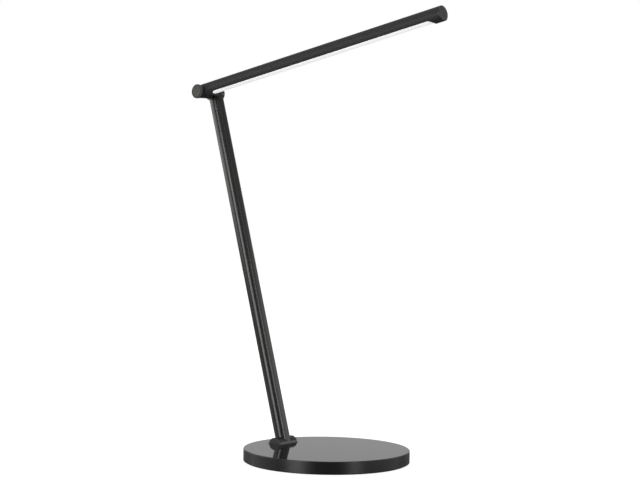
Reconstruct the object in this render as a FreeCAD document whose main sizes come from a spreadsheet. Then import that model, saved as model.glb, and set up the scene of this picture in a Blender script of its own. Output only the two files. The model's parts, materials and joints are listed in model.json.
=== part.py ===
import FreeCAD, Part
import os
import re
import Sketcher
from FreeCAD import Vector

# Desk lamp: a round weighted base, a leaning tube stem and a long tube head with a light slot.
# Frame: +Z up, origin on the floor under the middle of the base, +X the way the head points,
# hinge axes along Y. The near side is -Y, where the head and its button sit beside the stem.

# Driving sizes, millimetres and degrees
SIZES = {
    # base
    "base_diameter": 180.0,
    "base_height": 13.7,
    "base_edge": 0.8,
    "cover_wall": 2.0,
    "cover_top": 2.2,
    "pad_thickness": 0.9,
    "pad_inset": 1.5,
    "plate_thickness": 1.5,
    "plate_gap": 0.3,
    "weight_gap": 0.4,
    "window_margin": 2.0,
    # tube stock shared by stem, head and barrels
    "tube_od": 16.2,
    "tube_wall": 1.2,
    # stem
    "stem_length": 411.0,
    "stem_lean": 15.9,
    "stem_swing": 30.0,
    "swing_gap": 0.5,
    "saddle_seam": 0.03,
    "plug_length": 22.0,
    "nipple_diameter": 9.0,
    "nipple_bore": 6.4,
    "nipple_grip": 13.0,
    # friction hinge inside the lower barrel
    "lug_width": 7.0,
    "lug_room": 1.4,
    "lug_waist": 1.5,
    "bracket_foot": 1.4,
    "foot_gap": 0.5,
    "bracket_boss": 6.0,
    "bracket_boss_height": 4.0,
    "pin_diameter": 6.0,
    "pin_head": 2.0,
    "pin_head_room": 1.4,
    "pin_nut_height": 2.5,
    "pin_nut_room": 1.1,
    "washer_thickness": 0.6,
    "bush_length": 4.5,
    "spring_rise": 0.3,
    "spring_thickness": 0.5,
    "barrel_cap": 1.0,
    "barrel_plug": 2.9,
    "plug_spigot": 0.9,
    "end_room": 0.2,
    "rim_chamfer": 0.4,
    # friction hinge inside the upper barrel
    "shaft_diameter": 8.0,
    "shaft_bore": 5.0,
    "shaft_head": 2.1,
    "shaft_head_wall": 2.1,
    "shaft_tail": 0.6,
    "shaft_window": 4.4,
    "far_cap": 1.6,
    "far_cap_spigot": 1.2,
    "barrel_web": 2.5,
    "barrel_shoulder": 0.5,
    "side_washer": 0.4,
    "bearing_length": 5.5,
    "lock_nut_height": 3.5,
    "lock_nut_room": 0.5,
    "lock_nut_slot": 2.0,
    "cavity_wall": 2.4,
    # switch in the end of the head barrel
    "lead_room": 1.2,
    "switch_board": 1.0,
    "switch_side": 5.4,
    "switch_height": 2.4,
    "button_room": 0.9,
    "collar_length": 1.6,
    "collar_wall": 0.7,
    "skirt_length": 1.4,
    "skirt_wall": 0.9,
    "plunger_diameter": 3.2,
    "plunger_length": 1.8,
    "button_travel": 0.7,
    "button_gap": 1.0,
    "button_thickness": 2.56,
    "button_rim": 1.3,
    "button_dish": 0.25,
    # head
    "head_length": 333.3,
    "head_angle": 10.25,
    "head_lift": 1.5,
    "knuckle_far_inset": 1.7,
    "knuckle_near_inset": 0.7,
    "neck_length": 11.5,
    "spigot_length": 8.5,
    "lead_hole": 5.0,
    "slot_lead": 3.1,
    "slot_tail": 2.2,
    "slot_land": 0.6,
    "lens_wall": 1.2,
    "lens_dome": 1.2,
    "lens_lip": 0.35,
    "lens_lip_height": 1.3,
    "board_thickness": 1.6,
    "board_side_room": 0.57,
    "board_drop": 0.4,
    "bar_end_room": 1.5,
    "bar_groove": 4.0,
    "led_count": 24.0,
    "led_length": 3.5,
    "led_width": 2.8,
    "led_height": 0.8,
    "end_cap": 2.6,
    "end_cap_spigot": 6.0,
    "end_cap_chamfer": 0.5,
    # power inlet and driver
    "inlet_length": 10.5,
    "inlet_width": 9.0,
    "inlet_margin": 0.55,
    "inlet_recess": 0.4,
    "inlet_wall": 0.9,
    "inlet_depth": 9.0,
    "inlet_pin": 2.0,
    "inlet_pin_length": 8.0,
    "inlet_gap": 0.5,
    "driver_forward": 25.0,
    "driver_length": 40.0,
    "driver_width": 26.0,
    "driver_board": 1.6,
    "coil_diameter": 10.4,
    "coil_height": 4.3,
    "can_diameter": 7.4,
    "can_height": 4.3,
    "header_length": 10.0,
    "header_width": 13.0,
    "header_height": 3.7,
    # fasteners
    "screw_diameter": 3.0,
    "screw_head": 5.6,
    "screw_head_height": 1.3,
    "screw_length": 6.0,
    "screw_inset": 15.0,
    # fits, radial
    "press_fit": 0.01,
    "slide_fit": 0.05,
    # how far a cutting tool runs past the face it opens
    "overcut": 1.0,
}
PLATE_SCREW_COUNT = 4

doc = FreeCAD.newDocument("desk_lamp")
sheet = doc.addObject("Spreadsheet::Sheet", "sizes")
for row, (alias, value) in enumerate(SIZES.items(), start=1):
    sheet.set(f"A{row}", str(value))
    sheet.setAlias(f"A{row}", alias)
doc.recompute()

ALIAS = re.compile(r"\b(" + "|".join(SIZES) + r")\b")
pieces = []


def sized(text):
    """An expression written with bare size names, pointed at the sheet."""
    return ALIAS.sub(r"sizes.\1", text)


def number(text):
    """What an expression comes to, for first drawing a sketch."""
    return float(sheet.evalExpression(sized(text)))


def bind(item, **expressions):
    for name, text in expressions.items():
        item.setExpression(name, sized(text))
    return item


# Derived lengths, as expressions over the sheet
TUBE_R = "(tube_od / 2)"
BORE_R = "(tube_od / 2 - tube_wall)"
BASE_R = "(base_diameter / 2)"
INNER_R = f"({BASE_R} - cover_wall)"
PLATE_TOP = "(pad_thickness + plate_thickness)"
CEILING = "(base_height - cover_top)"
HINGE_Z = f"({PLATE_TOP} + bracket_foot + foot_gap + {TUBE_R})"
BARREL_SINK = f"(base_height - {HINGE_Z})"
SPRING_STACK = "(2 * spring_rise + 2 * spring_thickness)"

# Lower hinge stack, distances from the stem's middle plane
BUSH_FACE = "(lug_width / 2 + washer_thickness)"
BUSH_END = f"({BUSH_FACE} + bush_length)"
PIN_NUT_FACE = f"({BUSH_END} + {SPRING_STACK})"
PIN_END = f"({PIN_NUT_FACE} + pin_nut_height)"
BARREL_END = f"({PIN_END} + plug_spigot + end_room)"

# Upper hinge stack, distances from the stem's middle plane towards the near side
SIDE_FACE = f"({TUBE_R} + barrel_shoulder)"
HEAD_FACE = f"({SIDE_FACE} + side_washer)"
CAVITY_FLOOR = f"({HEAD_FACE} + bearing_length)"
SPRING_FACE = f"({CAVITY_FLOOR} + washer_thickness)"
LOCK_FACE = f"({SPRING_FACE} + {SPRING_STACK})"
SHAFT_END = f"({LOCK_FACE} + lock_nut_height + shaft_tail)"
BOARD_FACE = f"({SHAFT_END} + lead_room)"
SWITCH_FACE = f"({BOARD_FACE} + switch_board)"
SWITCH_TOP = f"({SWITCH_FACE} + switch_height)"
COLLAR_FACE = f"({SWITCH_TOP} + button_room)"
HEAD_END = f"({COLLAR_FACE} + collar_length)"
HEAD_SIDE = f"(({HEAD_FACE} + {HEAD_END}) / 2)"
FAR_FACE = f"({TUBE_R} - far_cap)"

# The stem's place: behind the middle by what the inlet and the hinge bracket leave
POCKET_X = f"(({BARREL_SINK} * sin(stem_swing) + {TUBE_R}) / cos(stem_swing) + swing_gap)"
BOSS_OUT = f"({POCKET_X} + bracket_boss)"
POST_BACK = f"({INNER_R} - inlet_length - inlet_gap - {BOSS_OUT})"

# Frames that the sub-parts are placed in
ALONG_HINGE = "placement(vector(0; 0; 0); rotation(vector(1; 0; 0); 90))"
HINGE_POINT = f"vector(-{POST_BACK}; 0; {HINGE_Z})"
POST = f"placement({HINGE_POINT}; rotation(vector(0; 1; 0); 0))"
STEM = f"placement({HINGE_POINT}; rotation(vector(0; 1; 0); -stem_lean))"
STEM_TOP = f"{STEM} * placement(vector(0; 0; stem_length); rotation(vector(0; 1; 0); 0))"
HEAD = (
    f"placement(vector(-{POST_BACK} - stem_length * sin(stem_lean); 0;"
    f" {HINGE_Z} + stem_length * cos(stem_lean)); rotation(vector(0; 1; 0); -head_angle))"
)
HEAD_TUBE = f"{HEAD} * placement(vector(0; -{HEAD_SIDE}; head_lift); rotation(vector(0; 1; 0); 90))"
BASE_AXIS = f"{POST} * {ALONG_HINGE}"
FOOT_AXIS = f"{STEM} * {ALONG_HINGE}"
TOP_AXIS = f"{STEM_TOP} * {ALONG_HINGE}"
HEAD_AXIS = f"{HEAD} * {ALONG_HINGE}"

TURN = {
    "x": "rotation(vector(0; 1; 0); 90)",
    "-x": "rotation(vector(0; 1; 0); -90)",
    "y": "rotation(vector(1; 0; 0); -90)",
    "-y": "rotation(vector(1; 0; 0); 90)",
    "z": "rotation(vector(0; 0; 1); 0)",
}


def put(item, at, along="z"):
    x, y, z = at
    return bind(item, Placement=f"placement(vector({x}; {y}; {z}); {TURN[along]})")


def rod(radius, length, at=("0", "0", "0"), along="z"):
    """A round bar from a point along an axis."""
    item = bind(doc.addObject("Part::Cylinder", "rod"), Radius=radius, Height=length)
    return put(item, at, along)


def block(x, y, z):
    """A box between three pairs of limits."""
    item = doc.addObject("Part::Box", "block")
    bind(item, Length=f"{x[1]} - ({x[0]})", Width=f"{y[1]} - ({y[0]})", Height=f"{z[1]} - ({z[0]})")
    return put(item, (x[0], y[0], z[0]))


def fuse(*items):
    joined = doc.addObject("Part::MultiFuse", "fuse")
    joined.Shapes = list(items)
    joined.Refine = True
    return joined


def cut(base, *tools):
    """A solid less each tool in turn."""
    for tool in tools:
        result = doc.addObject("Part::Cut", "cut")
        result.Base = base
        result.Tool = tool
        base = result
    return base


def common(first, second):
    result = doc.addObject("Part::Common", "common")
    result.Base = first
    result.Tool = second
    return result


def group(*items):
    """Like pieces kept as separate solids in one sub-part."""
    result = doc.addObject("Part::Compound", "group")
    result.Links = list(items)
    return result


def ring(outer, inner, start, length):
    """A washer or sleeve round the Z axis."""
    hole = rod(inner, f"{length} + 2 * overcut", ("0", "0", f"{start} - overcut"))
    return cut(rod(outer, length, ("0", "0", start)), hole)


def sketch_on(body, role):
    sketch = body.newObject("Sketcher::SketchObject", "sketch")
    plane = next(item for item in body.Origin.OriginFeatures if item.Role == role)
    sketch.AttachmentSupport = [(plane, "")]
    sketch.MapMode = "FlatFace"
    return sketch


def pin_corner(sketch, line, kind, axis, text):
    """Hold a corner's distance from the sketch's origin."""
    value = number(text)
    if abs(value) < 1e-9:
        sketch.addConstraint(Sketcher.Constraint("PointOnObject", line, 1, axis))
        return
    index = sketch.addConstraint(Sketcher.Constraint(kind, -1, 1, line, 1, value))
    sketch.setExpression(f"Constraints[{index}]", sized(text))


def outline(sketch, corners):
    """A closed line through corners, each a pair of expressions."""
    points = [Vector(number(across), number(up), 0) for across, up in corners]
    for index, point in enumerate(points):
        sketch.addGeometry(Part.LineSegment(point, points[(index + 1) % len(points)]))
    for index in range(len(points)):
        after = (index + 1) % len(points)
        sketch.addConstraint(Sketcher.Constraint("Coincident", index, 2, after, 1))
    for index, (across, up) in enumerate(corners):
        pin_corner(sketch, index, "DistanceX", -2, across)
        pin_corner(sketch, index, "DistanceY", -1, up)


def turned(corners):
    """A lathe-turned piece: its half section, as radius and height, spun round the Z axis."""
    body = doc.addObject("PartDesign::Body", "turned")
    sketch = sketch_on(body, "XZ_Plane")
    outline(sketch, corners)
    spin = body.newObject("PartDesign::Revolution", "spin")
    spin.Profile = sketch
    spin.ReferenceAxis = (sketch, ["V_Axis"])
    spin.Angle = 360.0
    body.Tip = spin
    return body


def round_edges(body, radius, wanted):
    """Round the edges of a body that a test picks out."""
    doc.recompute()
    base = body.Tip
    names = [f"Edge{i}" for i, edge in enumerate(base.Shape.Edges, start=1) if wanted(edge)]
    fillet = body.newObject("PartDesign::Fillet", "round")
    fillet.Base = (base, names)
    bind(fillet, Radius=radius)
    body.Tip = fillet
    return body


def pocket(body, role, half_x, low_y, high_y, offset_x):
    """A rectangular opening through a body, its sketch shifted along X."""
    sketch = sketch_on(body, role)
    bind(sketch, **{"AttachmentOffset.Base.x": offset_x})
    outline(sketch, [(half_x, low_y), (half_x, high_y), (f"-{half_x}", high_y), (f"-{half_x}", low_y)])
    opening = body.newObject("PartDesign::Pocket", "opening")
    opening.Profile = sketch
    opening.Type = "ThroughAll"
    opening.Midplane = True
    body.Tip = opening
    return body


def sub_part(label, item, frame=None):
    item.Label = label
    if frame:
        bind(item, Placement=frame)
    pieces.append(item)
    return item


def spring_pair(bore, rim, start):
    """Two dished spring washers, rim to rim."""
    section = [
        (bore, "0"),
        (rim, "spring_rise"),
        (rim, "spring_rise + spring_thickness"),
        (bore, "spring_thickness"),
    ]
    lower = put(turned(section), ("0", "0", start))
    upper = turned(section)
    flip = "rotation(vector(1; 0; 0); 180)"
    bind(upper, Placement=f"placement(vector(0; 0; {start} + {SPRING_STACK}); {flip})")
    return group(lower, upper)


# Base
POCKET_NEAR = f"({BARREL_END} + barrel_plug + swing_gap)"
POCKET_FAR = f"({BARREL_END} + swing_gap)"
INLET_Z = f"(({PLATE_TOP} + {CEILING}) / 2)"
NOSE_R = f"(({CEILING} - {PLATE_TOP}) / 2 - inlet_margin)"
SCREW_R = "(screw_diameter / 2)"


def base_cover():
    shell = turned([
        ("0", CEILING),
        (INNER_R, CEILING),
        (INNER_R, "pad_thickness"),
        (BASE_R, "pad_thickness"),
        (BASE_R, "base_height"),
        ("0", "base_height"),
    ])
    top, radius = number("base_height"), number(BASE_R)
    round_edges(shell, "base_edge", lambda edge: edge.Closed
                and abs(edge.BoundBox.ZMin - top) < 1e-6 and abs(edge.BoundBox.XMax - radius) < 1e-6)
    pocket(shell, "XY_Plane", POCKET_X, f"-{POCKET_NEAR}", POCKET_FAR, f"-{POST_BACK}")
    outside = (f"-{BASE_R} - overcut", "0", INLET_Z)
    return cut(shell, rod(f"{NOSE_R} + slide_fit", "cover_wall + 2 * overcut", outside, "x"))


def post_window():
    """The room that the hinge bracket and barrel need in the weight."""
    far = f"{POCKET_FAR} + window_margin"
    near = f"-({POCKET_NEAR} + window_margin)"
    half = f"({BOSS_OUT} + window_margin)"
    return block((f"-{POST_BACK} - {half}", f"-{POST_BACK} + {half}"), (near, far), ("0", "base_height"))


def inlet_window():
    inner = f"-({INNER_R} - inlet_length - window_margin)"
    side = "(inlet_width / 2 + weight_gap)"
    return block((f"-{BASE_R}", inner), (f"-{side}", side), ("0", "base_height"))


def driver_window():
    half_x = "(driver_length / 2 + window_margin)"
    half_y = "(driver_width / 2 + window_margin)"
    return block(
        (f"driver_forward - {half_x}", f"driver_forward + {half_x}"),
        (f"-{half_y}", half_y),
        ("0", "base_height"),
    )


def countersunk(at, along_z, grow):
    """A countersunk screw or, grown by a clearance, its hole."""
    x, y = at
    head = doc.addObject("Part::Cone", "head")
    bind(head, Radius1=f"screw_head / 2 + {grow}", Radius2=f"{SCREW_R} + {grow}", Height="screw_head_height")
    put(head, (x, y, along_z))
    shank = rod(f"{SCREW_R} + {grow}", "screw_length", (x, y, along_z))
    return fuse(head, shank)


SCREW_CIRCLE_R = f"({BASE_R} - screw_inset)"
SCREW_TURNS = [(place + 0.5) * 360 / PLATE_SCREW_COUNT for place in range(PLATE_SCREW_COUNT)]
PLATE_SCREWS = [
    (f"{SCREW_CIRCLE_R} * cos({turn})", f"{SCREW_CIRCLE_R} * sin({turn})") for turn in SCREW_TURNS
]
BRACKET_SCREWS = [(f"-{POST_BACK} + {side} * ({BOSS_OUT} - bracket_boss / 2)", "0") for side in (-1, 1)]


def screw_set(places, grow="0"):
    return [countersunk(place, "pad_thickness", grow) for place in places]


def base_weight():
    disc = rod(f"{INNER_R} - weight_gap", f"{CEILING} - {PLATE_TOP} - weight_gap", ("0", "0", PLATE_TOP))
    windows = [post_window(), inlet_window(), driver_window()]
    return cut(disc, *windows, *screw_set(PLATE_SCREWS, "press_fit"))


def bottom_plate():
    disc = rod(f"{INNER_R} - plate_gap", "plate_thickness", ("0", "0", "pad_thickness"))
    return cut(disc, *screw_set(PLATE_SCREWS + BRACKET_SCREWS, "press_fit"))


LUG_R = f"({BORE_R} - lug_room)"
LUG_HALF = f"({LUG_R} - lug_waist)"
PIN_HEAD_R = f"({BORE_R} - pin_head_room)"


def hinge_bracket():
    """A lug that reaches into the lower barrel, on a foot screwed to the bottom plate."""
    half_width = "(lug_width / 2)"
    x = f"-{POST_BACK}"
    eye = rod(LUG_R, "lug_width", (x, half_width, HINGE_Z), "-y")
    lug = block(
        (f"{x} - {LUG_HALF}", f"{x} + {LUG_HALF}"),
        (f"-{half_width}", half_width),
        (PLATE_TOP, HINGE_Z),
    )
    side = "(lug_width / 2 + bracket_boss / 2)"
    foot_top = f"{PLATE_TOP} + bracket_foot"
    foot = block((f"{x} - {BOSS_OUT}", f"{x} + {BOSS_OUT}"), (f"-{side}", side), (PLATE_TOP, foot_top))
    boss_top = f"{PLATE_TOP} + bracket_boss_height"
    back = block((f"{x} - {BOSS_OUT}", f"{x} - {POCKET_X}"), (f"-{side}", side), (PLATE_TOP, boss_top))
    front = block((f"{x} + {POCKET_X}", f"{x} + {BOSS_OUT}"), (f"-{side}", side), (PLATE_TOP, boss_top))
    outside = (x, f"{half_width} + overcut", HINGE_Z)
    bore = rod("pin_diameter / 2 + press_fit", "lug_width + 2 * overcut", outside, "-y")
    return cut(fuse(eye, lug, foot, back, front), bore, *screw_set(BRACKET_SCREWS, "press_fit"))


def hinge_pin():
    length = f"(2 * {BUSH_END} + {SPRING_STACK} + pin_nut_height + pin_head)"
    return turned([
        ("0", "0"),
        (PIN_HEAD_R, "0"),
        (PIN_HEAD_R, "pin_head"),
        ("pin_diameter / 2", "pin_head"),
        ("pin_diameter / 2", length),
        ("0", length),
    ])


def pin_nut():
    hexagon = doc.addObject("Part::Prism", "hexagon")
    bind(hexagon, Circumradius=f"{BORE_R} - pin_nut_room", Height="pin_nut_height")
    put(hexagon, ("0", "0", PIN_NUT_FACE))
    return cut(hexagon, rod("pin_diameter / 2 + press_fit", f"{PIN_END} + overcut"))


def washer(outer, inner, start):
    return ring(outer, inner, start, "washer_thickness")


PIN_SLIDE = "(pin_diameter / 2 + slide_fit)"

sub_part("base_cover", base_cover())
sub_part("base_weight", base_weight())
sub_part("bottom_plate", bottom_plate())
sub_part("base_pad", rod(f"{BASE_R} - pad_inset", "pad_thickness"))
sub_part("plate_screws", group(*screw_set(PLATE_SCREWS)))
sub_part("hinge_bracket", hinge_bracket())
sub_part("bracket_screws", group(*screw_set(BRACKET_SCREWS)))
PIN_START = f"placement(vector(0; 0; -{BUSH_END} - pin_head); rotation(vector(0; 0; 1); 0))"
sub_part("hinge_pin", hinge_pin(), f"{BASE_AXIS} * {PIN_START}")
pin_washers = group(
    washer(LUG_R, PIN_SLIDE, "lug_width / 2"),
    washer(LUG_R, PIN_SLIDE, f"-{BUSH_FACE}"),
)
sub_part("pin_friction_washers", pin_washers, BASE_AXIS)
sub_part("pin_spring_washers", spring_pair(PIN_SLIDE, PIN_HEAD_R, BUSH_END), BASE_AXIS)
sub_part("pin_nut", pin_nut(), BASE_AXIS)


# Power inlet and driver in the base
def inlet_housing():
    nose_start = f"-{BASE_R} + inlet_recess"
    side = "(inlet_width / 2)"
    box = block(
        (f"-{INNER_R} + slide_fit", f"-{INNER_R} + inlet_length"),
        (f"-{side}", side),
        (PLATE_TOP, f"{CEILING} - weight_gap"),
    )
    nose = rod(NOSE_R, "inlet_length / 2", (nose_start, "0", INLET_Z), "x")
    outside = (f"{nose_start} - overcut", "0", INLET_Z)
    bore = rod(f"{NOSE_R} - inlet_wall", "inlet_depth + overcut", outside, "x")
    inner = rod(f"{INNER_R} - slide_fit", "base_height")
    return cut(fuse(common(box, inner), nose), bore)


INLET_FLOOR = f"(-{BASE_R} + inlet_recess + inlet_depth)"
sub_part("inlet_housing", inlet_housing())
sub_part("inlet_pin", rod("inlet_pin / 2", "inlet_pin_length", (INLET_FLOOR, "0", INLET_Z), "-x"))


def driver_parts():
    top = f"{PLATE_TOP} + driver_board"
    front = "(driver_forward + driver_length / 2)"
    coil = rod("coil_diameter / 2", "coil_height", ("driver_forward - driver_length / 4", "0", top))
    can = rod("can_diameter / 2", "can_height", ("driver_forward", "driver_width / 4", top))
    header = block(
        (f"{front} - header_length", front),
        ("-header_width / 2", "header_width / 2"),
        (top, f"{top} + header_height"),
    )
    return group(coil, can, header)


board = block(
    ("driver_forward - driver_length / 2", "driver_forward + driver_length / 2"),
    ("-driver_width / 2", "driver_width / 2"),
    (PLATE_TOP, f"{PLATE_TOP} + driver_board"),
)
sub_part("driver_board", board)
sub_part("driver_parts", driver_parts())


# Stem
NIPPLE_R = "(nipple_diameter / 2)"
NIPPLE_HOLE = f"({NIPPLE_R} + press_fit)"
PLUG_R = f"({BORE_R} - press_fit)"
FOOT_NIPPLE = f"({BORE_R} + slide_fit)"
SADDLE_R = f"({TUBE_R} + saddle_seam)"


def base_barrel():
    """The barrel that turns on the lug: open below for the lug's swing, drilled above for the leads."""
    tube = ring(TUBE_R, BORE_R, f"-{BARREL_END} + barrel_cap", f"(2 * {BARREL_END} - barrel_cap)")
    half = f"({BUSH_FACE} - slide_fit)"
    corner = f"sqrt({BORE_R} ^ 2 - {LUG_HALF} ^ 2)"
    rise = f"({corner} * cos(stem_swing) - {LUG_HALF} * sin(stem_swing) - swing_gap)"
    swing_slot = block((f"-{TUBE_R}", TUBE_R), (f"-{TUBE_R} - overcut", f"-{rise}"), (f"-{half}", half))
    lead_hole = rod(NIPPLE_HOLE, f"{TUBE_R} + overcut", along="y")
    return cut(tube, swing_slot, lead_hole)


def barrel_plug():
    return turned([
        ("0", "0"),
        (PLUG_R, "0"),
        (PLUG_R, "plug_spigot"),
        (TUBE_R, "plug_spigot"),
        (TUBE_R, "plug_spigot + barrel_plug - rim_chamfer"),
        (f"{TUBE_R} - rim_chamfer", "plug_spigot + barrel_plug"),
        ("0", "plug_spigot + barrel_plug"),
    ])


def barrel_cap():
    return turned([
        ("0", "0"),
        (f"{TUBE_R} - rim_chamfer", "0"),
        (TUBE_R, "rim_chamfer"),
        (TUBE_R, "barrel_cap"),
        (PLUG_R, "barrel_cap"),
        (PLUG_R, "barrel_cap + plug_spigot"),
        ("0", "barrel_cap + plug_spigot"),
    ])


def saddle(height):
    """The barrel that a tube's end is hollowed to sit on, with the paint seam between them."""
    return rod(SADDLE_R, "tube_od + 2 * overcut", ("0", f"-{TUBE_R} - overcut", height), "y")


def stem_tube():
    return cut(ring(TUBE_R, BORE_R, "0", "stem_length"), saddle("0"), saddle("stem_length"))


def stem_plug(start, barrel_at):
    """A round plug in the tube's end, hollowed to sit on the barrel."""
    plug = rod(PLUG_R, "plug_length", ("0", "0", start))
    hole = rod(NIPPLE_HOLE, "plug_length + 2 * overcut", ("0", "0", f"{start} - overcut"))
    return cut(plug, saddle(barrel_at), hole)


def nipple(start):
    return ring(NIPPLE_R, "nipple_bore / 2", start, "nipple_grip")


def at_height(height):
    return f"placement(vector(0; 0; {height}); rotation(vector(0; 0; 1); 0))"


bush = f"({BORE_R} - press_fit)"
bushes = group(
    ring(bush, PIN_SLIDE, BUSH_FACE, "bush_length"),
    ring(bush, PIN_SLIDE, f"-{BUSH_END}", "bush_length"),
)
sub_part("base_barrel", base_barrel(), FOOT_AXIS)
sub_part("barrel_near_plug", barrel_plug(), f"{FOOT_AXIS} * {at_height(f'{BARREL_END} - plug_spigot')}")
sub_part("barrel_far_cap", barrel_cap(), f"{FOOT_AXIS} * {at_height(f'-{BARREL_END}')}")
sub_part("hinge_bushes", bushes, FOOT_AXIS)
sub_part("stem_tube", stem_tube(), STEM)
sub_part("stem_foot_plug", stem_plug("0", "0"), STEM)
sub_part("stem_foot_nipple", nipple(FOOT_NIPPLE), STEM)
sub_part("stem_top_plug", stem_plug("stem_length - plug_length", "stem_length"), STEM)

# Upper hinge, the half that belongs to the stem
SHAFT_R = "(shaft_diameter / 2)"
SHAFT_PRESS = f"({SHAFT_R} + press_fit)"
SHAFT_SLIDE = f"({SHAFT_R} + slide_fit)"
SHAFT_HEAD_R = f"({TUBE_R} - shaft_head_wall)"
TOP_NIPPLE = f"(stem_length - {SHAFT_HEAD_R} - swing_gap - nipple_grip)"
KNUCKLE_FAR_R = f"({TUBE_R} - knuckle_far_inset)"
KNUCKLE_NEAR_R = f"({TUBE_R} - knuckle_near_inset)"
CAVITY_R = f"({TUBE_R} - cavity_wall)"
LOCK_NUT_R = f"({CAVITY_R} - lock_nut_room)"


def stem_top_barrel():
    length = f"({FAR_FACE} + {SIDE_FACE})"
    solid = rod(TUBE_R, length, ("0", "0", f"-{FAR_FACE}"))
    outside = ("0", "0", f"-{FAR_FACE} - overcut")
    bore = rod(SHAFT_PRESS, f"{length} + 2 * overcut", outside)
    head_pocket = rod(f"{SHAFT_HEAD_R} + press_fit", f"{FAR_FACE} + overcut - barrel_web", outside)
    lead_hole = rod(NIPPLE_HOLE, f"{TUBE_R} + overcut", along="-y")
    return cut(solid, bore, head_pocket, lead_hole)


def far_cap():
    return turned([
        ("0", "0"),
        (f"{TUBE_R} - far_cap / 2", "0"),
        (TUBE_R, "far_cap / 2"),
        (TUBE_R, "far_cap"),
        (SHAFT_HEAD_R, "far_cap"),
        (SHAFT_HEAD_R, "far_cap + far_cap_spigot"),
        ("0", "far_cap + far_cap_spigot"),
    ])


def hinge_shaft():
    length = f"(shaft_head + barrel_web + {SHAFT_END})"
    shaft = turned([
        ("0", "0"),
        (SHAFT_HEAD_R, "0"),
        (SHAFT_HEAD_R, "shaft_head"),
        (SHAFT_R, "shaft_head"),
        (SHAFT_R, length),
        ("shaft_bore / 2", length),
        ("shaft_bore / 2", "shaft_head"),
        ("0", "shaft_head"),
    ])
    window = rod("shaft_window / 2", "shaft_diameter", ("0", "0", "shaft_head + barrel_web"), "-y")
    return cut(shaft, window)


def lock_nut():
    nut = ring(LOCK_NUT_R, SHAFT_PRESS, LOCK_FACE, "lock_nut_height")
    width = ("-lock_nut_slot / 2", "lock_nut_slot / 2")
    reach = (f"-{LOCK_NUT_R} - overcut", f"{LOCK_NUT_R} + overcut")
    depth = (f"{LOCK_FACE} + lock_nut_height / 2", f"{LOCK_FACE} + lock_nut_height + overcut")
    across = block(reach, width, depth)
    upright = block(width, reach, depth)
    return cut(nut, across, upright)


sub_part("stem_top_nipple", nipple(TOP_NIPPLE), STEM)
sub_part("stem_top_barrel", stem_top_barrel(), TOP_AXIS)
sub_part("top_far_cap", far_cap(), f"{TOP_AXIS} * {at_height(f'-{TUBE_R}')}")
sub_part("hinge_shaft", hinge_shaft(), f"{TOP_AXIS} * {at_height('-barrel_web - shaft_head')}")
side_ring = ring(f"{KNUCKLE_FAR_R} - rim_chamfer", SHAFT_SLIDE, SIDE_FACE, "side_washer")
sub_part("side_washer", side_ring, TOP_AXIS)
sub_part("inner_washer", washer(LOCK_NUT_R, SHAFT_SLIDE, CAVITY_FLOOR), TOP_AXIS)
sub_part("shaft_spring_washers", spring_pair(SHAFT_SLIDE, LOCK_NUT_R, SPRING_FACE), TOP_AXIS)
sub_part("lock_nut", lock_nut(), TOP_AXIS)

# Head
TUBE_END = "(head_length - end_cap)"
SLOT_HALF = f"({BORE_R} - slot_land)"
SLOT_START = "(neck_length + slot_lead)"
SLOT_END = f"({TUBE_END} - end_cap_spigot - slot_tail)"
BAR_START = "(neck_length + spigot_length + bar_end_room)"
BAR_END = f"({TUBE_END} - end_cap_spigot - bar_end_room)"
LENS_TOP = "(board_drop + board_thickness + slide_fit)"
LENS_EDGE = f"sqrt({TUBE_R} ^ 2 - {SLOT_HALF} ^ 2)"
LENS_FACE = f"({LENS_EDGE} + lens_dome)"
DOME_R = f"(({SLOT_HALF} ^ 2 + lens_dome ^ 2) / (2 * lens_dome))"
BOARD_HALF = f"(sqrt({BORE_R} ^ 2 - (board_drop + board_thickness) ^ 2) - board_side_room)"


def head_knuckle():
    """The head's half of the upper barrel, slimmer towards the stem, with a neck and a tube spigot."""
    barrel = doc.addObject("Part::Cone", "barrel")
    bind(barrel, Radius1=KNUCKLE_FAR_R, Radius2=KNUCKLE_NEAR_R, Height=f"{HEAD_END} - {HEAD_FACE}")
    put(barrel, ("0", f"-{HEAD_FACE}", "0"), "-y")
    centre = ("0", f"-{HEAD_SIDE}", "head_lift")
    nose = put(bind(doc.addObject("Part::Sphere", "nose"), Radius=TUBE_R), centre)
    neck = rod(TUBE_R, "neck_length", centre, "x")
    spigot = rod(PLUG_R, "neck_length + spigot_length", centre, "x")
    flat = block(
        ("neck_length", "neck_length + spigot_length + overcut"),
        (f"-{HEAD_SIDE} - tube_od", f"-{HEAD_SIDE} + tube_od"),
        ("head_lift - tube_od", f"head_lift - {LENS_TOP}"),
    )
    bearing = rod(SHAFT_SLIDE, "bearing_length + 2 * overcut", ("0", f"overcut - {HEAD_FACE}", "0"), "-y")
    cavity = rod(CAVITY_R, f"{HEAD_END} - {CAVITY_FLOOR} + overcut", ("0", f"-{CAVITY_FLOOR}", "0"), "-y")
    leads = rod("lead_hole / 2", "neck_length + spigot_length + overcut", centre, "x")
    return cut(fuse(barrel, nose, neck, cut(spigot, flat)), bearing, cavity, leads)


def stadium(half, top, bottom):
    """A slot-shaped prism along the head, between two depths below the tube's axis."""
    first = f"({SLOT_START} + {SLOT_HALF})"
    last = f"({SLOT_END} - {SLOT_HALF})"
    bar = block((top, bottom), (f"-{half}", half), (first, last))
    ends = [rod(half, f"{bottom} - {top}", (top, "0", place), "x") for place in (first, last)]
    return fuse(bar, *ends)


def head_tube():
    wall = ring(TUBE_R, BORE_R, "neck_length", f"({TUBE_END} - neck_length)")
    return cut(wall, stadium(SLOT_HALF, "0", "tube_od"))


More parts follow.
